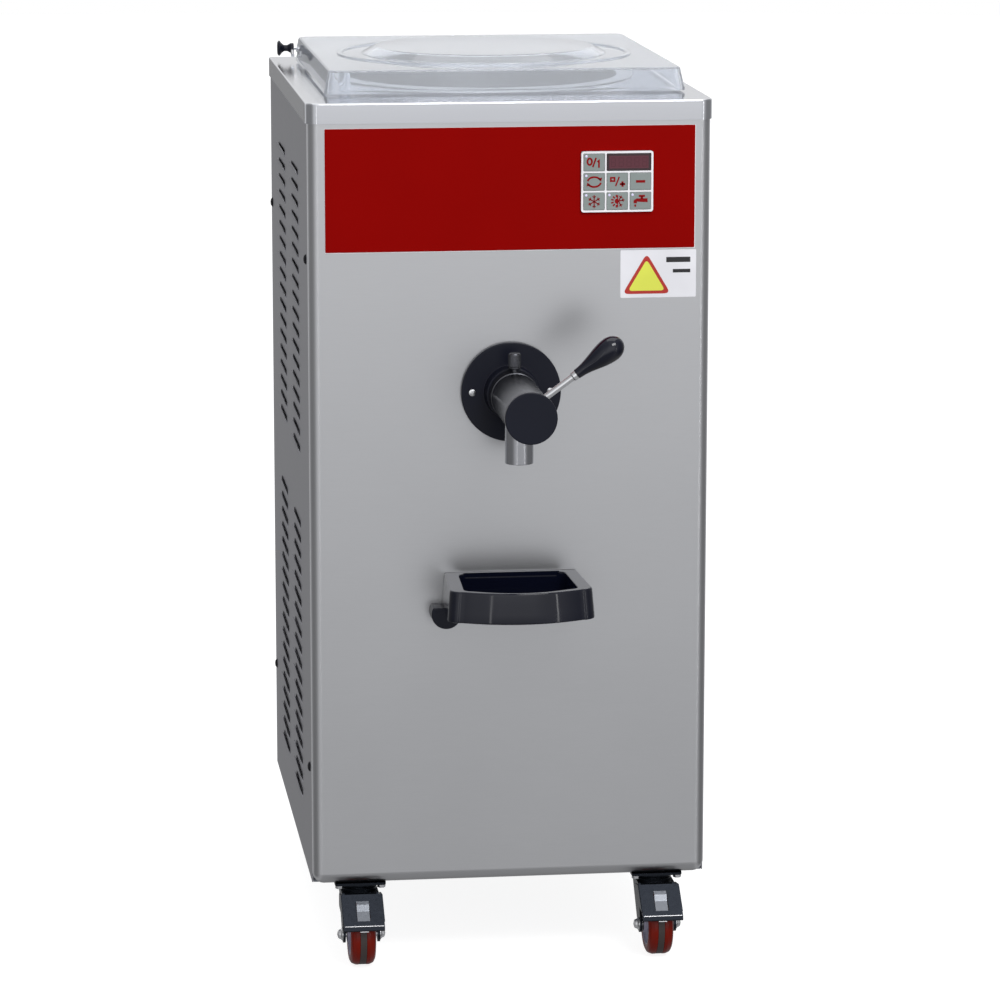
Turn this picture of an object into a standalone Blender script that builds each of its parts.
"""Batch mix pasteuriser on casters: a steel cabinet with a heated and cooled vat under a clear lid,
a piston tap with a lever, a drip tray and a keypad.

Frame: metres, +Z up, floor at z = 0, the front faces -Y, x = 0 is the cabinet's middle.
A depth called "u" is measured from the front panel's face towards the back.
"""

import math

import bmesh
import bpy
from mathutils import Matrix, Vector

# Cabinet
WIDTH = 0.480
DEPTH = 0.605
BASE_Z = 0.100
DECK_Z = 1.048
SHEET = 0.0015
GAP = 0.0003
CORNER_R = 0.014
PANEL_RETURN = 0.016
CAP_OVERHANG = 0.002
CAP_BAND = 0.024
BASE_PLATE = 0.003
POST = 0.025
POST_WALL = 0.003

# What stands proud of the cabinet at the front and at the back
TAP_REACH = 0.1935
GLAND_REACH = 0.015
FRONT_Y = (TAP_REACH - DEPTH - GLAND_REACH) / 2
REAR_Y = FRONT_Y + DEPTH

# Louvres of the side and rear panels
LOUVRE_LENGTH = 0.108
LOUVRE_HEIGHT = 0.006
LOUVRE_PITCH = 0.020
LOUVRE_COUNT = 18
LOUVRE_GROUPS_Z = (0.346, 0.780)
LOUVRE_COLUMNS_U = (0.206, 0.417)

# Vat and its drive
VAT_U = 0.309
VAT_R = 0.170
VAT_WALL = 0.0015
VAT_FLOOR_Z = 0.688
VAT_FLANGE_R = 0.190
SHAFT_R = 0.010
PULLEY_Z = 0.622
PULLEY_SPACING = 0.130
DRIVEN_R = 0.045
DRIVING_R = 0.015
DRIVE_PLATE_Z = 0.600

# Red fascia and keypad
FASCIA_HALF = 0.220
FASCIA_Z = (0.872, 1.018)
KEYPAD_X = 0.1265
KEYPAD_Z = 0.952
KEYPAD_SIZE = (0.086, 0.0722)
KEY_PITCH = (0.0277, 0.0231)
KEY_SIZE = (0.0249, 0.0202)
KEY_TRAVEL = 0.001

# Tap
TAP_Z = 0.703
FLANGE_R = 0.0597
BARREL_R = 0.0285
BARREL_BORE = 0.022
SEAT_BORE = 0.0175
BARREL_END = 0.187
SPOUT_U = 0.082
SPOUT_R = 0.0168
SPOUT_DROP = 0.072
LEVER_U = 0.145
LEVER_ANGLE = math.radians(36)
LEVER_SWING = math.radians(90)
GRIP_START = 0.0725
GRIP_LENGTH = 0.066
LOCK_PIN_U = 0.038

# Drip tray
TRAY_HALF_BACK = 0.080
TRAY_HALF_FRONT = 0.085
TRAY_SIDE_U = 0.113
TRAY_BOW = 0.018
TRAY_Z = (0.447, 0.484)
TRAY_FLARE = 0.0025
REST_X = -0.080
REST_Z = 0.4385
REST_R = 0.018

# Lid
LID_X = 0.005
LID_HALF = 0.2175
LID_U = (0.080, 0.568)
LID_TOP_Z = 1.078
LID_WALL = 0.003
LID_TAPER = 0.0055
HINGE_U = 0.552
HINGE_Z = 1.064

# Casters
WHEEL_R = 0.0375
WHEEL_HALF = 0.0155
CASTER_X = 0.182
CASTER_U = (0.035, 0.560)
CASTER_TRAIL = 0.033
FORK_HALF = 0.0195
FORK_WALL = 0.003


def clear_scene():
    for obj in list(bpy.data.objects):
        bpy.data.objects.remove(obj, do_unlink=True)


def material(name, color, roughness, metallic=0.0, transmission=0.0):
    made = bpy.data.materials.new(name)
    made.use_nodes = True
    shader = made.node_tree.nodes["Principled BSDF"]
    shader.inputs["Base Color"].default_value = (*color, 1.0)
    shader.inputs["Roughness"].default_value = roughness
    shader.inputs["Metallic"].default_value = metallic
    shader.inputs["Transmission Weight"].default_value = transmission
    return made


def make_materials():
    return {
        "steel": material("brushed_steel", (0.50, 0.51, 0.53), 0.35, 1.0),
        "bright": material("bright_steel", (0.62, 0.63, 0.65), 0.22, 1.0),
        "zinc": material("zinc_plate", (0.42, 0.43, 0.46), 0.40, 1.0),
        "black": material("black_plastic", (0.012, 0.013, 0.018), 0.35),
        "gloss": material("gloss_black", (0.008, 0.008, 0.012), 0.12),
        "red": material("red_enamel", (0.26, 0.004, 0.001), 0.30),
        "white": material("white_plastic", (0.75, 0.74, 0.74), 0.40),
        "key": material("grey_key", (0.28, 0.33, 0.32), 0.45),
        "display": material("display_red", (0.15, 0.04, 0.06), 0.15),
        "clear": material("clear_lid", (0.80, 0.85, 0.92), 0.08, 0.0, 0.9),
        "tyre": material("tyre_red", (0.22, 0.03, 0.012), 0.35),
        "copper": material("copper_pipe", (0.60, 0.26, 0.14), 0.30, 1.0),
        "paint": material("black_paint", (0.02, 0.02, 0.022), 0.45),
        "rubber": material("belt_rubber", (0.02, 0.02, 0.02), 0.70),
        "foam": material("insulation", (0.70, 0.68, 0.55), 0.90),
    }


def y_at(u):
    return FRONT_Y + u


def add_object(name, bm, mat, origin=(0.0, 0.0, 0.0), smooth_angle=35.0):
    """A mesh object with outward faces, whose origin is the given point."""
    bmesh.ops.recalc_face_normals(bm, faces=bm.faces)
    bmesh.ops.translate(bm, verts=bm.verts, vec=-Vector(origin))
    mesh = bpy.data.meshes.new(name)
    bm.to_mesh(mesh)
    bm.free()
    mesh.shade_smooth()
    mesh.set_sharp_from_angle(angle=math.radians(smooth_angle))
    obj = bpy.data.objects.new(name, mesh)
    obj.location = origin
    if mat is not None:
        mesh.materials.append(mat)
    bpy.context.scene.collection.objects.link(obj)
    return obj


def add_helper(name, bm):
    """A cutter or an added shape, which isn't a piece of its own."""
    obj = add_object(name, bm, None)
    obj.hide_render = True
    obj.display_type = "WIRE"
    return obj


def combine(obj, helper, operation, solver="EXACT"):
    modifier = obj.modifiers.new(helper.name, "BOOLEAN")
    modifier.operation = operation
    modifier.object = helper
    modifier.solver = solver


def box_mesh(low, high):
    bm = bmesh.new()
    bmesh.ops.create_cube(bm, size=1.0)
    low, high = Vector(low), Vector(high)
    size = high - low
    bmesh.ops.scale(bm, vec=size, verts=bm.verts)
    bmesh.ops.translate(bm, vec=(low + high) / 2, verts=bm.verts)
    return bm


def bevel_edges(bm, chosen, width, segments):
    edges = [edge for edge in bm.edges if chosen(edge)]
    bmesh.ops.bevel(bm, geom=edges, offset=width, segments=segments, profile=0.5, affect="EDGES")


def rounded_box(low, high, width, segments=2):
    bm = box_mesh(low, high)
    bevel_edges(bm, lambda edge: True, width, segments)
    return bm


AXIS_TURN = {
    "Z": Matrix.Identity(3),
    "Y": Matrix(((1, 0, 0), (0, 0, 1), (0, -1, 0))),  # height runs along +Y
    "-Y": Matrix(((1, 0, 0), (0, 0, -1), (0, 1, 0))),  # height runs along -Y
    "X": Matrix(((0, 0, 1), (0, 1, 0), (-1, 0, 0))),
}


def turned_mesh(profile, segments, centre, axis="Z", phase=0.0, matrix=None):
    """Turns (radius, height) points about an axis. A profile that starts and ends on the axis is solid;
    any other profile is a closed outline of a ring."""
    bm = bmesh.new()
    turn = matrix if matrix is not None else AXIS_TURN[axis]
    rings = []
    for radius, height in profile:
        if radius < 1e-7:
            rings.append([bm.verts.new(turn @ Vector((0.0, 0.0, height)))])
            continue
        ring = []
        for step in range(segments):
            angle = 2 * math.pi * (step + phase) / segments
            point = Vector((radius * math.cos(angle), radius * math.sin(angle), height))
            ring.append(bm.verts.new(turn @ point))
        rings.append(ring)
    pairs = list(zip(rings, rings[1:]))
    if len(rings[0]) > 1:
        pairs.append((rings[-1], rings[0]))
    for first, second in pairs:
        for step in range(segments):
            after = (step + 1) % segments
            corners = [first[step % len(first)], first[after % len(first)]]
            corners += [second[after % len(second)], second[step % len(second)]]
            unique = list(dict.fromkeys(corners))
            if len(unique) > 2:
                bm.faces.new(unique)
    bmesh.ops.translate(bm, vec=centre, verts=bm.verts)
    return bm


def cylinder_mesh(radius, low, high, segments, centre, axis="Z", matrix=None):
    profile = [(0.0, low), (radius, low), (radius, high), (0.0, high)]
    return turned_mesh(profile, segments, centre, axis, matrix=matrix)


def extruded_mesh(outline, low, high, plane="XY"):
    """A closed outline of (a, b) points, extruded between two values of the third axis."""
    place = {
        "XY": lambda a, b, c: (a, b, c),
        "XZ": lambda a, b, c: (a, c, b),
        "YZ": lambda a, b, c: (c, a, b),
    }[plane]
    bm = bmesh.new()
    bottom = [bm.verts.new(place(a, b, low)) for a, b in outline]
    top = [bm.verts.new(place(a, b, high)) for a, b in outline]
    bm.faces.new(bottom)
    bm.faces.new(top)
    for step, start in enumerate(bottom):
        after = (step + 1) % len(outline)
        bm.faces.new((start, bottom[after], top[after], top[step]))
    return bm


def arc_points(centre, radius, start, end, segments):
    """Points of an arc, with both ends, for angles in degrees."""
    points = []
    for step in range(segments + 1):
        angle = math.radians(start + (end - start) * step / segments)
        points.append((centre[0] + radius * math.cos(angle), centre[1] + radius * math.sin(angle)))
    return points


def sheet_mesh(across, upward, windows, place, thickness):
    """A flat sheet with rectangular windows. place turns (a, b, depth) into a point."""
    lines_a = sorted({*across, *(edge for window in windows for edge in window[0])})
    lines_b = sorted({*upward, *(edge for window in windows for edge in window[1])})
    holes = {(window[0], window[1]) for window in windows}
    bm = bmesh.new()
    grid = {}
    for a in lines_a:
        for b in lines_b:
            grid[a, b] = [bm.verts.new(place(a, b, depth)) for depth in (0.0, thickness)]
    cells = {}
    for a, a_next in zip(lines_a, lines_a[1:]):
        for b, b_next in zip(lines_b, lines_b[1:]):
            middle_a, middle_b = (a + a_next) / 2, (b + b_next) / 2
            cut = any(
                hole_a[0] < middle_a < hole_a[1] and hole_b[0] < middle_b < hole_b[1]
                for hole_a, hole_b in holes
            )
            cells[a, b] = not cut
            if not cut:
                corners = [grid[a, b], grid[a_next, b], grid[a_next, b_next], grid[a, b_next]]
                bm.faces.new([corner[0] for corner in corners])
                bm.faces.new([corner[1] for corner in reversed(corners)])
    close_sides(bm, grid, cells, lines_a, lines_b)
    loose = [vert for vert in bm.verts if not vert.link_faces]
    bmesh.ops.delete(bm, geom=loose, context="VERTS")
    return bm


def close_sides(bm, grid, cells, lines_a, lines_b):
    """Walls between the two faces of a sheet, wherever a solid cell meets an empty one."""

    def solid(index_a, index_b):
        if not (0 <= index_a < len(lines_a) - 1 and 0 <= index_b < len(lines_b) - 1):
            return False
        return cells[lines_a[index_a], lines_b[index_b]]

    def wall(first, second):
        bm.faces.new((first[0], second[0], second[1], first[1]))

    for i in range(len(lines_a)):
        for j in range(len(lines_b) - 1):
            if solid(i - 1, j) != solid(i, j):
                wall(grid[lines_a[i], lines_b[j]], grid[lines_a[i], lines_b[j + 1]])
    for i in range(len(lines_a) - 1):
        for j in range(len(lines_b)):
            if solid(i, j - 1) != solid(i, j):
                wall(grid[lines_a[i], lines_b[j]], grid[lines_a[i + 1], lines_b[j]])


def louvre_windows(columns, groups):
    """Windows of every louvre, for the given column centres and group centres."""
    windows = []
    for column in columns:
        for group in groups:
            for step in range(LOUVRE_COUNT):
                z = group + (step - (LOUVRE_COUNT - 1) / 2) * LOUVRE_PITCH
                across = (column - LOUVRE_LENGTH / 2, column + LOUVRE_LENGTH / 2)
                windows.append((across, (z - LOUVRE_HEIGHT / 2, z + LOUVRE_HEIGHT / 2)))
    return windows


def folded_pan(low, high, roundings, thickness, opened):
    """A folded pan: a box whose edges are rounded, opened where asked, with walls inside its outline.
    Each rounding is a test for its edges and a radius."""
    bm = box_mesh(low, high)
    for chosen, radius in roundings:
        bevel_edges(bm, chosen, radius, 4)
    doomed = [face for face in bm.faces if opened(face)]
    bmesh.ops.delete(bm, geom=doomed, context="FACES")
    bmesh.ops.recalc_face_normals(bm, faces=bm.faces)
    bmesh.ops.solidify(bm, geom=bm.faces, thickness=thickness)
    return bm


def along(edge, index):
    first, second = (vert.co for vert in edge.verts)
    return all(abs(first[i] - second[i]) < 1e-6 for i in range(3) if i != index)


def make_base_plate(mats):
    low = (-WIDTH / 2 + 0.002, y_at(PANEL_RETURN + 0.001), BASE_Z)
    high = (WIDTH / 2 - 0.002, REAR_Y - 0.002, BASE_Z + BASE_PLATE)
    add_object("base_plate", box_mesh(low, high), mats["zinc"])


def make_posts(mats):
    """Four angle posts, each with its corner outwards."""
    x = WIDTH / 2 - SHEET - 0.001
    places = {
        "corner_post_front_left": (-x, y_at(PANEL_RETURN + 0.004), 1, 1),
        "corner_post_front_right": (x, y_at(PANEL_RETURN + 0.004), -1, 1),
        "corner_post_rear_left": (-x, REAR_Y - 0.004, 1, -1),
        "corner_post_rear_right": (x, REAR_Y - 0.004, -1, -1),
    }
    angle = [(0, 0), (POST, 0), (POST, POST_WALL), (POST_WALL, POST_WALL), (POST_WALL, POST), (0, POST)]
    for name, (px, py, sx, sy) in places.items():
        outline = [(px + sx * a, py + sy * b) for a, b in angle]
        bm = extruded_mesh(outline, BASE_Z + BASE_PLATE + GAP, DECK_Z - CAP_BAND)
        add_object(name, bm, mats["zinc"])


def make_front_panel(mats):
    low = (-WIDTH / 2, FRONT_Y, BASE_Z)
    high = (WIDTH / 2, y_at(PANEL_RETURN), DECK_Z - SHEET - 0.0005)

    def folded(edge):
        middle = (edge.verts[0].co + edge.verts[1].co) / 2
        at_front = middle.y < FRONT_Y + 1e-6
        at_bottom = middle.z < BASE_Z + 1e-6
        return (along(edge, 2) and at_front) or (at_bottom and (along(edge, 1) or at_front))

    def opened(face):
        centre = face.calc_center_median()
        return centre.y > high[1] - 1e-6 or centre.z > high[2] - 1e-6

    bm = folded_pan(low, high, [(folded, CORNER_R)], SHEET, opened)
    panel = add_object("front_panel", bm, mats["steel"])
    hole = cylinder_mesh(0.026, -0.01, 0.01, 24, (0, FRONT_Y, TAP_Z), "Y")
    combine(panel, add_helper("front_panel_hole", hole), "DIFFERENCE")


def make_side_panels(mats):
    across = (PANEL_RETURN + 0.0005, DEPTH)
    upward = (BASE_Z, DECK_Z - SHEET - 0.0005)
    windows = louvre_windows(LOUVRE_COLUMNS_U, LOUVRE_GROUPS_Z)
    for name, side in (("left_side_panel", -1), ("right_side_panel", 1)):

        def place(u, z, depth, side=side):
            return (side * (WIDTH / 2 - depth), y_at(u), z)

        add_object(name, sheet_mesh(across, upward, windows, place, SHEET), mats["steel"])


def make_rear_panel(mats):
    half = WIDTH / 2 - SHEET - 0.0005
    windows = louvre_windows((-0.085, 0.085), LOUVRE_GROUPS_Z[:1])

    def place(x, z, depth):
        return (x, REAR_Y - depth, z)

    bm = sheet_mesh((-half, half), (BASE_Z, DECK_Z - SHEET - 0.0005), windows, place, SHEET)
    add_object("rear_panel", bm, mats["steel"])


def make_top_deck(mats):
    low = (-WIDTH / 2 - CAP_OVERHANG, FRONT_Y - CAP_OVERHANG, DECK_Z - CAP_BAND)
    high = (WIDTH / 2 + CAP_OVERHANG, REAR_Y + CAP_OVERHANG, DECK_Z)

    def opened(face):
        return face.calc_center_median().z < low[2] + 1e-6

    def upright_at(y):
        return lambda edge: along(edge, 2) and abs(edge.verts[0].co.y - y) < 1e-6

    roundings = [(upright_at(low[1]), CORNER_R + CAP_OVERHANG), (upright_at(high[1]), 0.003)]
    bm = folded_pan(low, high, roundings, SHEET, opened)
    deck = add_object("top_deck", bm, mats["steel"])
    mouth = cylinder_mesh(VAT_R + 0.0025, -0.02, 0.02, 36, (0, y_at(VAT_U), DECK_Z))
    combine(deck, add_helper("top_deck_mouth", mouth), "DIFFERENCE")
    for side, tail in ((-1, "left"), (1, "right")):
        near, far = sorted((side * (WIDTH / 2 - 0.002), side * (WIDTH / 2 + 0.010)))
        slot_low = (near, y_at(0.0168), DECK_Z - CAP_BAND - 0.01)
        slot_high = (far, y_at(0.0198), DECK_Z - SHEET - 0.001)
        slot = box_mesh(slot_low, slot_high)
        combine(deck, add_helper("top_deck_slot_" + tail, slot), "DIFFERENCE")


def make_vat(mats):
    """A round tank that hangs in the deck by its flange, with a shaft neck and an outlet pipe."""
    centre = (0, y_at(VAT_U), 0)
    outer = VAT_R + VAT_WALL
    neck_in, neck_out = SHAFT_R + 0.0005, SHAFT_R + 0.006
    flange_low = DECK_Z + 0.0004
    profile = [
        (neck_in, VAT_FLOOR_Z - 0.034),
        (neck_out, VAT_FLOOR_Z - 0.034),
        (neck_out, VAT_FLOOR_Z - VAT_WALL),
        (outer - 0.020, VAT_FLOOR_Z - VAT_WALL),
        (outer, VAT_FLOOR_Z + 0.018),
        (outer, flange_low),
        (VAT_FLANGE_R, flange_low),
        (VAT_FLANGE_R, flange_low + VAT_WALL),
        (VAT_R, flange_low + VAT_WALL),
        (VAT_R, VAT_FLOOR_Z + 0.019),
        (VAT_R - 0.020, VAT_FLOOR_Z),
        (neck_in, VAT_FLOOR_Z),
    ]
    vat = add_object("vat", turned_mesh(profile, 36, centre), mats["bright"])
    pipe_from = VAT_U - VAT_R - 0.0005
    pipe = cylinder_mesh(SEAT_BORE + 0.002, 0.0045, pipe_from, 24, (0, FRONT_Y, TAP_Z + 0.006), "Y")
    combine(vat, add_helper("vat_outlet", pipe), "UNION")
    bore = cylinder_mesh(SEAT_BORE - 0.001, -0.002, pipe_from + 0.03, 24, (0, FRONT_Y, TAP_Z + 0.006), "Y")
    combine(vat, add_helper("vat_outlet_bore", bore), "DIFFERENCE")


def make_vat_wraps(mats):
    """The insulation around the vat and the cooling pipe that is wound between the two."""
    centre = (0, y_at(VAT_U), 0)
    jacket = [(0.186, 0.735), (0.202, 0.735), (0.202, 1.000), (0.186, 1.000)]
    add_object("vat_jacket", turned_mesh(jacket, 24, centre), mats["foam"])
    add_object("cooling_coil", coil_mesh(centre), mats["copper"])


def coil_mesh(centre):
    turns, steps, sides = 3, 18, 5
    coil_r, pipe_r = 0.1790, 0.0045
    low, high = 0.745, 0.905
    bm = bmesh.new()
    rings = []
    for step in range(turns * steps + 1):
        angle = 2 * math.pi * step / steps
        out = Vector((math.cos(angle), math.sin(angle), 0.0))
        middle = Vector(centre) + out * coil_r
        middle.z = low + (high - low) * step / (turns * steps)
        ring = []
        for side in range(sides):
            around = 2 * math.pi * side / sides
            offset = out * math.cos(around) + Vector((0, 0, 1)) * math.sin(around)
            ring.append(bm.verts.new(middle + offset * pipe_r))
        rings.append(ring)
    for first, second in zip(rings, rings[1:]):
        for side in range(sides):
            after = (side + 1) % sides
            bm.faces.new((first[side], first[after], second[after], second[side]))
    bm.faces.new(rings[0])
    bm.faces.new(rings[-1])
    return bm


def make_agitator(mats):
    centre = (0, y_at(VAT_U), 0)
    profile = [
        (0, 0.606), (SHAFT_R, 0.606), (SHAFT_R, 0.690), (0.022, 0.690), (0.022, 0.740),
        (SHAFT_R, 0.752), (SHAFT_R, 0.790), (0.004, 0.800), (0, 0.800),
    ]
    agitator = add_object("agitator", turned_mesh(profile, 18, centre), mats["bright"], centre)
    for index in range(2):
        blade = box_mesh((-0.125, -0.0015, -0.018), (0.125, 0.0015, 0.018))
        pitch = Matrix.Rotation(math.radians(25), 3, "X")
        turn = Matrix.Rotation(math.radians(90 * index + 45), 3, "Z")
        bmesh.ops.transform(blade, matrix=(turn @ pitch).to_4x4(), verts=blade.verts)
        bmesh.ops.translate(blade, vec=(0, y_at(VAT_U), 0.715), verts=blade.verts)
        combine(agitator, add_helper("agitator_blade_%d" % index, blade), "UNION")


def pulley_profile(radius, bore):
    half, lip = 0.010, 0.0065
    return [
        (bore, -half), (radius + 0.004, -half), (radius + 0.004, -lip), (radius, -lip),
        (radius, lip), (radius + 0.004, lip), (radius + 0.004, half), (bore, half),
    ]


def belt_outline(offset):
    """An open belt's outline round both pulleys, at a distance from their running faces."""
    large, small = DRIVEN_R + offset, DRIVING_R + offset
    lean = math.degrees(math.acos((large - small) / PULLEY_SPACING))
    around_large = arc_points((0, y_at(VAT_U)), large, lean, 360 - lean, 14)
    around_small = arc_points((PULLEY_SPACING, y_at(VAT_U)), small, -lean, lean, 8)
    return around_large + around_small


def make_belt_mesh():
    bm = bmesh.new()
    loops = []
    for offset in (0.0004, 0.0034):
        for z in (PULLEY_Z - 0.006, PULLEY_Z + 0.006):
            loops.append([bm.verts.new((x, y, z)) for x, y in belt_outline(offset)])
    inner_low, inner_high, outer_low, outer_high = loops
    count = len(inner_low)
    walls = [(inner_low, inner_high), (outer_low, outer_high)]
    walls += [(inner_low, outer_low), (inner_high, outer_high)]
    for first, second in walls:
        for step in range(count):
            after = (step + 1) % count
            bm.faces.new((first[step], first[after], second[after], second[step]))
    return bm


def make_drive(mats):
    agitator_axis = (0, y_at(VAT_U), PULLEY_Z)
    motor_axis = (PULLEY_SPACING, y_at(VAT_U), PULLEY_Z)
    bore = SHAFT_R + GAP
    driven = turned_mesh(pulley_profile(DRIVEN_R, bore), 24, agitator_axis)
    add_object("driven_pulley", driven, mats["zinc"], agitator_axis)
    driving = turned_mesh(pulley_profile(DRIVING_R, 0.006 + GAP), 16, motor_axis)
    add_object("motor_pulley", driving, mats["zinc"], motor_axis)
    add_object("drive_belt", make_belt_mesh(), mats["rubber"])
    top = DRIVE_PLATE_Z - GAP
    motor = [
        (0, top - 0.150), (0.030, top - 0.150), (0.048, top - 0.140), (0.048, top - 0.018),
        (0.042, top), (0.0125, top), (0.0125, top + 0.006), (0.006, top + 0.006),
        (0.006, PULLEY_Z + 0.011), (0, PULLEY_Z + 0.011),
    ]
    body = turned_mesh(motor, 20, (PULLEY_SPACING, y_at(VAT_U), 0))
    add_object("drive_motor", body, mats["paint"])
    low = (-WIDTH / 2 + 0.006, y_at(0.200), DRIVE_PLATE_Z)
    high = (WIDTH / 2 - 0.006, y_at(0.420), DRIVE_PLATE_Z + 0.003)
    plate = add_object("drive_plate", box_mesh(low, high), mats["zinc"])
    hole = cylinder_mesh(0.0135, -0.01, 0.01, 24, (PULLEY_SPACING, y_at(VAT_U), DRIVE_PLATE_Z))
    combine(plate, add_helper("drive_plate_hole", hole), "DIFFERENCE")


def make_refrigeration(mats):
    floor = BASE_Z + BASE_PLATE + GAP
    can = [
        (0, floor), (0.092, floor), (0.092, floor + 0.005), (0.060, floor + 0.010), (0.082, floor + 0.035),
        (0.085, floor + 0.090), (0.078, floor + 0.150), (0.050, floor + 0.185), (0, floor + 0.195),
    ]
    add_object("compressor", turned_mesh(can, 20, (-0.100, y_at(0.190), 0)), mats["paint"])
    add_object("condenser", condenser_mesh(floor), mats["zinc"])
    fan_centre = (0, y_at(0.478), 0.265)
    motor = [(0, 0.016), (0.026, 0.016), (0.034, 0.024), (0.034, 0.070), (0.020, 0.082), (0, 0.082)]
    body = turned_mesh(motor, 24, fan_centre, "-Y")
    fan_motor = add_object("fan_motor", body, mats["paint"])
    foot = box_mesh((-0.020, y_at(0.420), floor), (0.020, y_at(0.445), 0.245))
    combine(fan_motor, add_helper("fan_motor_foot", foot), "UNION")
    make_fan(mats, fan_centre)


def condenser_mesh(floor):
    """A finned block: upright fins on a core."""
    fins, pitch, fin = 14, 0.022, 0.004
    front, core, back = y_at(0.520), y_at(0.550), y_at(0.575)
    outline = []
    for step in range(fins):
        x = (step - (fins - 1) / 2) * pitch
        outline += [(x - fin / 2, core), (x - fin / 2, front), (x + fin / 2, front), (x + fin / 2, core)]
    right = (fins - 1) / 2 * pitch + fin / 2
    outline += [(right, back), (-right, back)]
    return extruded_mesh(outline, floor, 0.400)


def make_fan(mats, centre):
    hub = cylinder_mesh(0.024, -0.012, 0.006, 24, centre, "Y")
    fan = add_object("condenser_fan", hub, mats["black"], centre)
    for index in range(5):
        blade = box_mesh((0.015, -0.0012, -0.024), (0.108, 0.0012, 0.024))
        pitch = Matrix.Rotation(math.radians(20), 3, "X")
        turn = Matrix.Rotation(math.radians(72 * index + 18), 3, "Y")
        bmesh.ops.transform(blade, matrix=(turn @ pitch).to_4x4(), verts=blade.verts)
        bmesh.ops.translate(blade, vec=Vector(centre) + Vector((0, -0.003, 0)), verts=blade.verts)
        combine(fan, add_helper("fan_blade_%d" % index, blade), "UNION")


def make_electrics(mats):
    box = box_mesh((0.010, y_at(0.020), 0.860), (0.205, y_at(0.085), 1.010))
    add_object("control_box", box, mats["zinc"])
    gland = [
        (0, GAP), (0.014, GAP), (0.014, 0.006), (0.011, 0.006), (0.009, GLAND_REACH),
        (0.004, GLAND_REACH), (0.004, 0.008), (0, 0.008),
    ]
    body = turned_mesh(gland, 20, (-0.150, REAR_Y, 0.140), "Y")
    add_object("mains_gland", body, mats["black"])


def make_fascia(mats):
    low = (-FASCIA_HALF, y_at(-0.0013), FASCIA_Z[0])
    high = (FASCIA_HALF, y_at(-GAP), FASCIA_Z[1])
    add_object("fascia_panel", box_mesh(low, high), mats["red"])


def key_cell(column, row, columns=1):
    """Centre and half width of a keypad cell that may span several columns."""
    x = KEYPAD_X + (column + (columns - 1) / 2 - 1) * KEY_PITCH[0]
    z = KEYPAD_Z + (1 - row) * KEY_PITCH[1]
    half = KEY_SIZE[0] / 2 + (columns - 1) * KEY_PITCH[0] / 2
    return x, z, half


def make_keypad(mats):
    names = {
        "key_power": (0, 0), "key_cycle": (0, 1), "key_program": (1, 1), "key_minus": (2, 1),
        "key_cool": (0, 2), "key_heat_cool": (1, 2), "key_tap": (2, 2),
    }
    cells = {name: key_cell(column, row) for name, (column, row) in names.items()}
    cells["display_window"] = key_cell(1, 0, 2)
    clear, half_z = 0.0005, KEY_SIZE[1] / 2
    front, back = -0.0046, -0.0016
    windows = [
        ((x - half - clear, x + half + clear), (z - half_z - clear, z + half_z + clear))
        for x, z, half in cells.values()
    ]
    across = (KEYPAD_X - KEYPAD_SIZE[0] / 2, KEYPAD_X + KEYPAD_SIZE[0] / 2)
    upward = (KEYPAD_Z - KEYPAD_SIZE[1] / 2, KEYPAD_Z + KEYPAD_SIZE[1] / 2)

    def place(x, z, depth):
        return (x, y_at(front + depth), z)

    bezel = sheet_mesh(across, upward, windows, place, back - front)
    add_object("keypad_bezel", bezel, mats["white"])
    for name, (x, z, half) in cells.items():
        fixed = name == "display_window"
        low = (x - half, y_at(front - (0.0 if fixed else 0.0006)), z - half_z)
        high = (x + half, y_at(back if fixed else back - KEY_TRAVEL - GAP), z + half_z)
        mesh = rounded_box(low, high, 0.0005, 1)
        origin = (x, high[1], z)
        add_object(name, mesh, mats["display" if fixed else "key"], origin)


def make_tap_flange(mats):
    profile = [
        (0.0245, GAP), (FLANGE_R, GAP), (FLANGE_R, 0.0065), (FLANGE_R - 0.0015, 0.008),
        (0.0330, 0.008), (0.0315, 0.026), (0.0245, 0.026),
    ]
    centre = (0, FRONT_Y, TAP_Z)
    flange = add_object("tap_flange", turned_mesh(profile, 32, centre, "-Y"), mats["black"])
    head = [(0, 0.0045), (0.0018, 0.0045), (0.0018, 0.0068), (0.0040, 0.0068), (0.0036, 0.0090), (0, 0.0094)]
    sink = [(0, 0.0035), (0.0022, 0.0035), (0.0022, 0.0065), (0.0044, 0.0065), (0.0044, 0.02), (0, 0.02)]
    for name, x in (("flange_screw_left", -0.0467), ("flange_screw_right", 0.0467)):
        place = (x, FRONT_Y, TAP_Z)
        combine(flange, add_helper(name + "_sink", turned_mesh(sink, 16, place, "-Y")), "DIFFERENCE")
        add_object(name, turned_mesh(head, 16, place, "-Y"), mats["bright"])


def lever_matrix():
    """Turns +Z to the lever's direction, up and to the right."""
    return Matrix.Rotation(math.pi / 2 - LEVER_ANGLE, 3, "Y")


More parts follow.
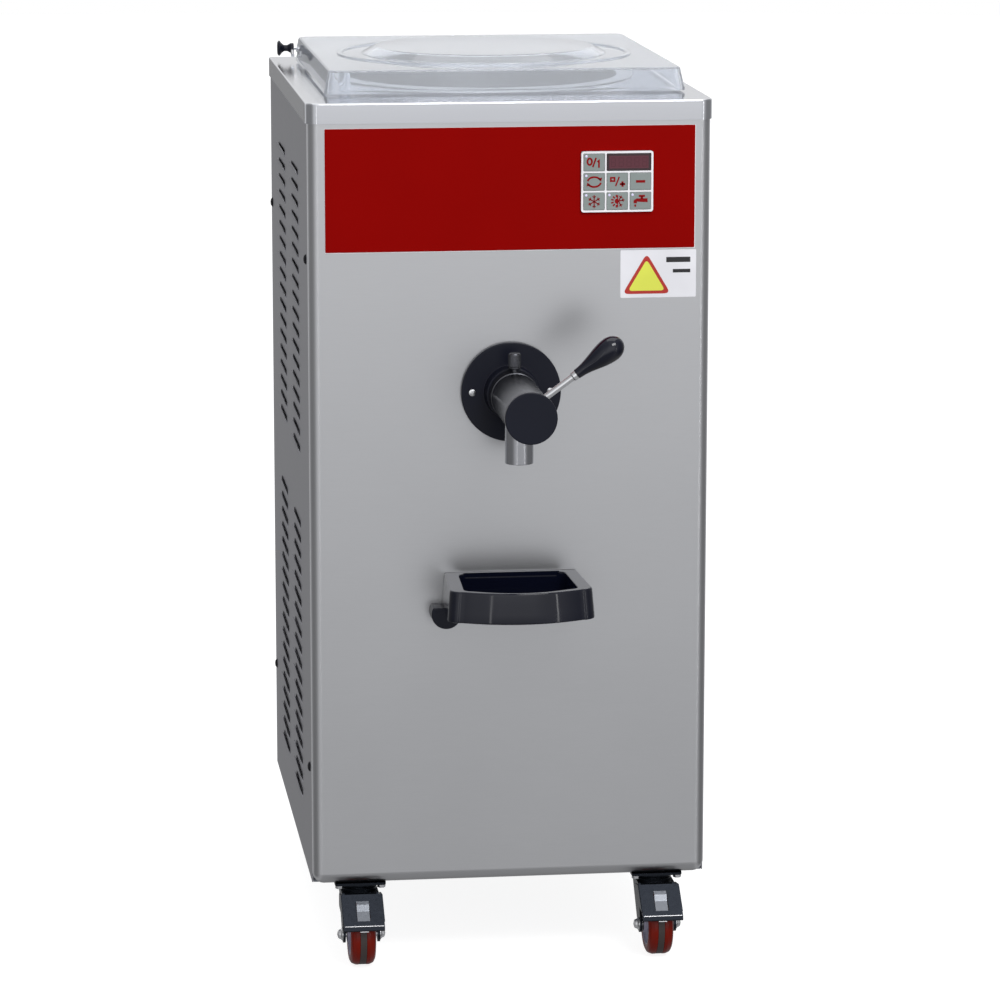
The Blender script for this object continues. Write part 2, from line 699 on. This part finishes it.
def make_tap_body(mats):
    """The barrel, its seat and its spout in one piece, bored, with a slot for the lever."""
    centre = (0, FRONT_Y, TAP_Z)
    profile = [
        (0, -0.0040), (0.0240, -0.0040), (0.0240, 0.0263), (0.0275, 0.0263), (BARREL_R + 0.0005, 0.0273),
        (BARREL_R + 0.0005, 0.0455), (BARREL_R - 0.0008, 0.0465), (BARREL_R - 0.0008, 0.0485),
        (BARREL_R, 0.0495), (BARREL_R, BARREL_END), (0, BARREL_END),
    ]
    tap = add_object("tap_body", turned_mesh(profile, 32, centre, "-Y"), mats["bright"])
    spout_centre = (0, y_at(-SPOUT_U), TAP_Z)
    spout = cylinder_mesh(SPOUT_R, -SPOUT_DROP, 0, 20, spout_centre)
    combine(tap, add_helper("tap_spout", spout), "UNION", "MANIFOLD")
    bore = [
        (0, -0.02), (SEAT_BORE, -0.02), (SEAT_BORE, 0.026), (BARREL_BORE, 0.032),
        (BARREL_BORE, 0.25), (0, 0.25),
    ]
    combine(tap, add_helper("tap_bore", turned_mesh(bore, 32, centre, "-Y")), "DIFFERENCE", "MANIFOLD")
    mouth = cylinder_mesh(SPOUT_R - 0.0023, -SPOUT_DROP - 0.02, 0, 20, spout_centre)
    combine(tap, add_helper("tap_spout_bore", mouth), "DIFFERENCE", "MANIFOLD")
    margin = math.degrees(math.asin(0.0048 / BARREL_BORE))
    start = math.degrees(LEVER_ANGLE - LEVER_SWING) - margin
    end = math.degrees(LEVER_ANGLE) + margin
    arc = [(x, TAP_Z + z) for x, z in arc_points((0, 0), 0.045, start, end, 10)]
    slot = extruded_mesh([(0, TAP_Z)] + arc, y_at(-LEVER_U - 0.0048), y_at(-LEVER_U + 0.0048), "XZ")
    combine(tap, add_helper("tap_slot", slot), "DIFFERENCE", "MANIFOLD")
    pin_hole = cylinder_mesh(0.0034, 0.010, 0.05, 16, (0, y_at(-LOCK_PIN_U), TAP_Z))
    combine(tap, add_helper("tap_pin_hole", pin_hole), "DIFFERENCE", "MANIFOLD")


def make_tap_inside(mats):
    centre = (0, FRONT_Y, TAP_Z)
    piston = [
        (0, 0.002), (0.0168, 0.002), (0.0171, 0.006), (0.0171, 0.022), (0.0060, 0.022), (0.0060, 0.104),
        (BARREL_BORE - 0.0005, 0.104), (BARREL_BORE - 0.0005, 0.117), (0, 0.117),
    ]
    add_object("tap_piston", turned_mesh(piston, 24, centre, "-Y"), mats["white"], centre)
    cap = [
        (0, BARREL_END - 0.008), (BARREL_BORE - 0.0005, BARREL_END - 0.008),
        (BARREL_BORE - 0.0005, BARREL_END + GAP), (0.0305, BARREL_END + GAP),
        (0.0305, TAP_REACH - 0.001), (0.0295, TAP_REACH), (0, TAP_REACH),
    ]
    add_object("tap_end_cap", turned_mesh(cap, 32, centre, "-Y"), mats["black"])


def make_lever(mats):
    """A rotor in the barrel, the rod that leaves it through the slot, and the grip on the rod."""
    pivot = (0, y_at(-LEVER_U), TAP_Z)
    rotor = cylinder_mesh(BARREL_BORE - 0.0005, -0.0060, 0.0060, 40, pivot, "-Y")
    rod_piece = add_object("lever_rod", rotor, mats["bright"], pivot)
    rod = cylinder_mesh(0.0040, 0.005, GRIP_START + 0.025, 16, pivot, matrix=lever_matrix())
    combine(rod_piece, add_helper("lever_rod_shank", rod), "UNION")
    outline = [(0.0, 0.0260), (0.0043, 0.0260), (0.0043, 0.0), (0.0052, 0.0), (0.0060, 0.0010)]
    steps = 9
    for step in range(1, steps + 1):
        share = step / steps
        along_grip = 0.001 + (GRIP_LENGTH - 0.001) * share
        outline.append((grip_radius(share), along_grip))
    profile = [(radius, GRIP_START + height) for radius, height in outline]
    grip = turned_mesh(profile, 20, pivot, matrix=lever_matrix())
    add_object("lever_grip", grip, mats["gloss"], pivot)


def grip_radius(share):
    """Half the thickness of the grip: a narrow neck that swells to a round end."""
    belly, widest = 0.0145, 0.74
    if share <= widest:
        blend = 0.5 - 0.5 * math.cos(math.pi * share / widest)
        return 0.0060 + (belly - 0.0060) * blend
    past = (share - widest) / (1 - widest)
    return belly * math.sqrt(max(0.0, 1 - past * past))


def make_lock_pin(mats):
    """A spring plunger in the top of the barrel, with a round pull."""
    profile = [
        (0, 0.0235), (0.0029, 0.0235), (0.0029, 0.0325), (0.0070, 0.0325), (0.0076, 0.0335),
        (0.0076, 0.0505), (0.0070, 0.0515), (0, 0.0515),
    ]
    centre = (0, y_at(-LOCK_PIN_U), TAP_Z)
    add_object("lock_pin", turned_mesh(profile, 20, centre), mats["bright"], centre)


def tray_outline(widen):
    """Plan of the tray from its back left corner: straight sides, round corners and a bowed front."""
    back, front, corner = TRAY_HALF_BACK + widen, TRAY_HALF_FRONT + widen, 0.012
    spread = front - corner
    side = [(back, -0.0015), (front - 0.0003, -(TRAY_SIDE_U - corner))]
    for step in range(1, 4):
        angle = math.radians(90 * step / 4)
        side.append((spread + corner * math.cos(angle), -(TRAY_SIDE_U - corner + corner * math.sin(angle))))
    bowed = []
    for step in range(13):
        x = -spread + 2 * spread * step / 12
        bowed.append((x, -(TRAY_SIDE_U + TRAY_BOW * (1 - (x / spread) ** 2))))
    return [(-x, u) for x, u in side] + bowed + side[::-1]


def make_drip_tray(mats):
    """A bow-fronted tray: wide side rims and a deep hollow, a little wider at its foot than at its rim."""
    low_z, high_z = TRAY_Z
    bm = bmesh.new()
    foot = [bm.verts.new((x, y_at(u), low_z)) for x, u in tray_outline(TRAY_FLARE)]
    rim = [bm.verts.new((x, y_at(u), high_z)) for x, u in tray_outline(0.0)]
    bm.faces.new(foot)
    bm.faces.new(rim)
    for step, start in enumerate(foot):
        after = (step + 1) % len(foot)
        bm.faces.new((start, foot[after], rim[after], rim[step]))
    origin = (0, y_at(-0.06), low_z)
    tray = add_object("drip_tray", bm, mats["gloss"], origin)
    hollow_scale = 0.80

    def inner(x, u):
        return (x * hollow_scale, -0.010 + (u + 0.010) * 0.955)

    outline = [inner(x, min(u, -0.010)) for x, u in tray_outline(0.0)]
    hollow = extruded_mesh([(x, y_at(u)) for x, u in outline], low_z + 0.003, high_z + 0.02)
    combine(tray, add_helper("drip_tray_hollow", hollow), "DIFFERENCE")


def make_tray_rest(mats):
    """A half-moon stud under the tray's left side: a disc whose top is cut flat."""
    cut = TRAY_Z[0] - 0.0005 - REST_Z
    lean = math.degrees(math.asin(cut / REST_R))
    outline = arc_points((REST_X, REST_Z), REST_R, 180 - lean, 360 + lean, 20)
    bm = extruded_mesh(outline, y_at(-0.028), y_at(-GAP), "XZ")
    add_object("tray_rest", bm, mats["black"])


def lid_block(inset, low_z, top_z, sunk=0.0):
    """A block with leaning sides and round corners, inset all round."""
    half = LID_HALF - inset
    low = (LID_X - half, y_at(LID_U[0] + inset), low_z - sunk)
    high = (LID_X + half, y_at(LID_U[1] - inset), top_z)
    bm = box_mesh(low, high)
    middle = Vector(((low[0] + high[0]) / 2, (low[1] + high[1]) / 2, 0))
    for vert in bm.verts:
        if vert.co.z > top_z - 1e-6:
            for index in (0, 1):
                vert.co[index] -= math.copysign(LID_TAPER, vert.co[index] - middle[index])
    bevel_edges(bm, lambda edge: not_level(edge), 0.012 - inset, 4)
    return bm


def not_level(edge):
    first, second = (vert.co for vert in edge.verts)
    return abs(first.z - second.z) > 1e-4


def make_lid(mats):
    low_z = DECK_Z + 0.0025
    hinge = (0, y_at(HINGE_U), HINGE_Z)
    lid = add_object("lid", lid_block(0.0, low_z, LID_TOP_Z), mats["clear"], hinge)
    centre = (LID_X, y_at(VAT_U), 0)
    dome = [(0, 1.060), (0.152, 1.060), (0.152, LID_TOP_Z), (0.136, 1.087), (0, 1.087)]
    combine(lid, add_helper("lid_dome", turned_mesh(dome, 32, centre)), "UNION")
    hollow = lid_block(LID_WALL, low_z, LID_TOP_Z - LID_WALL, 0.01)
    combine(lid, add_helper("lid_hollow", hollow), "DIFFERENCE")
    under = [(0, 1.060), (0.148, 1.060), (0.148, LID_TOP_Z - 0.002), (0.134, 1.084), (0, 1.084)]
    combine(lid, add_helper("lid_dome_hollow", turned_mesh(under, 32, centre)), "DIFFERENCE")
    hole = cylinder_mesh(0.0031, -0.24, -0.18, 16, (0, y_at(HINGE_U), HINGE_Z), "X")
    combine(lid, add_helper("lid_pin_hole", hole), "DIFFERENCE")
    # The rear skirt is short, and has a gap round the bracket, so that the lid can swing up.
    short = box_mesh((-0.3, y_at(0.530), 1.0), (0.3, y_at(0.6), HINGE_Z - 0.004))
    combine(lid, add_helper("lid_rear_relief", short), "DIFFERENCE")
    slot = box_mesh((-0.2035, y_at(0.5535), 1.0), (-0.1905, y_at(0.6), HINGE_Z + 0.0095))
    combine(lid, add_helper("lid_bracket_gap", slot), "DIFFERENCE")


def make_lid_hinge(mats):
    """A bracket on the deck, the pin that holds the lid to it, and the pin's black pull."""
    low = (-0.200, y_at(HINGE_U - 0.006), DECK_Z + GAP)
    high = (-0.194, y_at(HINGE_U + 0.004), HINGE_Z + 0.006)
    bracket = add_object("lid_bracket", box_mesh(low, high), mats["bright"])
    hole = cylinder_mesh(0.0029, -0.24, -0.18, 16, (0, y_at(HINGE_U), HINGE_Z), "X")
    combine(bracket, add_helper("lid_bracket_hole", hole), "DIFFERENCE")
    place = (0, y_at(HINGE_U), HINGE_Z)
    pin = cylinder_mesh(0.0025, -0.2135, -0.190, 16, place, "X")
    pin_piece = add_object("lid_pin", pin, mats["bright"], (-0.2135, place[1], place[2]))
    leg_from = Vector((-0.2162, y_at(HINGE_U) + 0.0015, HINGE_Z + 0.0005))
    leg_to = Vector((-0.2162, y_at(HINGE_U) - 0.020, HINGE_Z - 0.008))
    turn = (leg_to - leg_from).to_track_quat("Z", "Y").to_matrix()
    leg = cylinder_mesh(0.0022, 0.0, (leg_to - leg_from).length, 12, leg_from, matrix=turn)
    combine(pin_piece, add_helper("lid_pin_leg", leg), "UNION")
    root = cylinder_mesh(0.0025, -0.2185, -0.2130, 16, place, "X")
    combine(pin_piece, add_helper("lid_pin_root", root), "UNION")
    knob = [
        (0, -0.2345), (0.0065, -0.2343), (0.0085, -0.2325), (0.0085, -0.2310), (0.0050, -0.2290),
        (0.0042, -0.2260), (0.0042, -0.2190), (0, -0.2190),
    ]
    add_object("lid_knob", turned_mesh(knob, 20, place, "X"), mats["black"], (-0.2190, place[1], place[2]))


def fork_outline(swivel_y):
    """Side view of a fork leg: a wide top that narrows to a round end at the axle."""
    axle = (swivel_y - CASTER_TRAIL, WHEEL_R)
    return [(swivel_y + 0.022, 0.0865), (swivel_y - 0.026, 0.0865)] + arc_points(axle, 0.0105, 165, 330, 6)


def make_fork(name, x, swivel_y, mats):
    outer = FORK_HALF + FORK_WALL
    pivot = (x, swivel_y, 0.0865)
    crown_low = (x - outer, swivel_y - 0.026, 0.0825)
    crown_high = (x + outer, swivel_y + 0.022, 0.0865)
    fork = add_object(name, box_mesh(crown_low, crown_high), mats["zinc"], pivot)
    for side, tail in ((-1, "left"), (1, "right")):
        near, far = sorted((x + side * FORK_HALF, x + side * outer))
        leg = extruded_mesh(fork_outline(swivel_y), near, far, "YZ")
        combine(fork, add_helper("%s_leg_%s" % (name, tail), leg), "UNION")
    race = [(0, 0.084), (0.022, 0.084), (0.022, 0.0965), (0.010, 0.0995), (0, 0.0995)]
    combine(fork, add_helper(name + "_race", turned_mesh(race, 16, (x, swivel_y, 0))), "UNION")
    nut = outer + 0.007
    half_axle = [
        (0.0040, outer - 0.001), (0.0062, outer - 0.001), (0.0058, nut - 0.0030), (0.0030, nut - 0.0003),
        (0, nut),
    ]
    axle = [(radius, -across) for radius, across in reversed(half_axle)] + half_axle
    place = (x, swivel_y - CASTER_TRAIL, WHEEL_R)
    combine(fork, add_helper(name + "_axle", turned_mesh(axle, 12, place, "X")), "UNION")


def make_wheel(name, x, swivel_y, mats):
    """A tyre on a hub. A flat of the turned rim is lowest, so its radius is measured across flats."""
    segments = 28
    across = 1 / math.cos(math.pi / segments)
    centre = (x, swivel_y - CASTER_TRAIL, WHEEL_R)
    half = WHEEL_HALF
    outer_half = [
        (WHEEL_R * across, half - 0.0050), (0.0345, half), (0.0270, half - 0.0015),
        (0.0130, half - 0.0015), (0.0130, half + 0.0025), (0.0046, half + 0.0025),
    ]
    profile = [(radius, -height) for radius, height in reversed(outer_half)] + outer_half
    bm = turned_mesh(profile, segments, centre, "X", phase=0.5)
    add_object(name, bm, mats["tyre"], centre)


def make_pedal(name, x, swivel_y, mats):
    """A brake pedal: a leaning plate with two ears on the fork's outside."""
    axle_y = swivel_y - CASTER_TRAIL
    pivot = (x, axle_y + 0.010, 0.0760)
    top, foot = Vector((axle_y - 0.008, 0.0880)), Vector((axle_y - 0.046, 0.0580))
    down = (foot - top).normalized()
    out = Vector((down.y, -down.x)) * -0.0020
    if out.x > 0:
        out = -out
    outline = [top, foot, foot + out, top + out]
    half = FORK_HALF + FORK_WALL + 0.0030
    plate = extruded_mesh([tuple(point) for point in outline], x - half, x + half, "YZ")
    pedal = add_object(name, plate, mats["zinc"], pivot)
    lower = top.lerp(foot, 0.80)
    ear_back = pivot[1] + 0.006
    ear = [tuple(top + out * 0.5), tuple(lower + out * 0.5), (ear_back, 0.0680), (ear_back, 0.0845)]
    for side, tail in ((-1, "left"), (1, "right")):
        near, far = sorted((x + side * (half - 0.0020), x + side * half))
        plate = extruded_mesh(ear, near, far, "YZ")
        combine(pedal, add_helper("%s_ear_%s" % (name, tail), plate), "UNION")


def make_casters(mats):
    for row, u in zip(("front", "rear"), CASTER_U):
        for side, sign in (("left", -1), ("right", 1)):
            x, y = sign * CASTER_X, y_at(u)
            tail = "%s_%s" % (row, side)
            make_fork("caster_fork_" + tail, x, y, mats)
            make_wheel("caster_wheel_" + tail, x, y, mats)
            if row == "front":
                make_pedal("brake_pedal_" + side, x, y, mats)


def main():
    clear_scene()
    mats = make_materials()
    makers = (
        make_base_plate, make_posts, make_front_panel, make_side_panels, make_rear_panel, make_top_deck,
        make_vat, make_vat_wraps, make_agitator, make_drive, make_refrigeration, make_electrics,
        make_fascia, make_keypad, make_tap_flange, make_tap_body, make_tap_inside, make_lever,
        make_lock_pin, make_drip_tray, make_tray_rest, make_lid, make_lid_hinge, make_casters,
    )
    for make in makers:
        make(mats)


main()
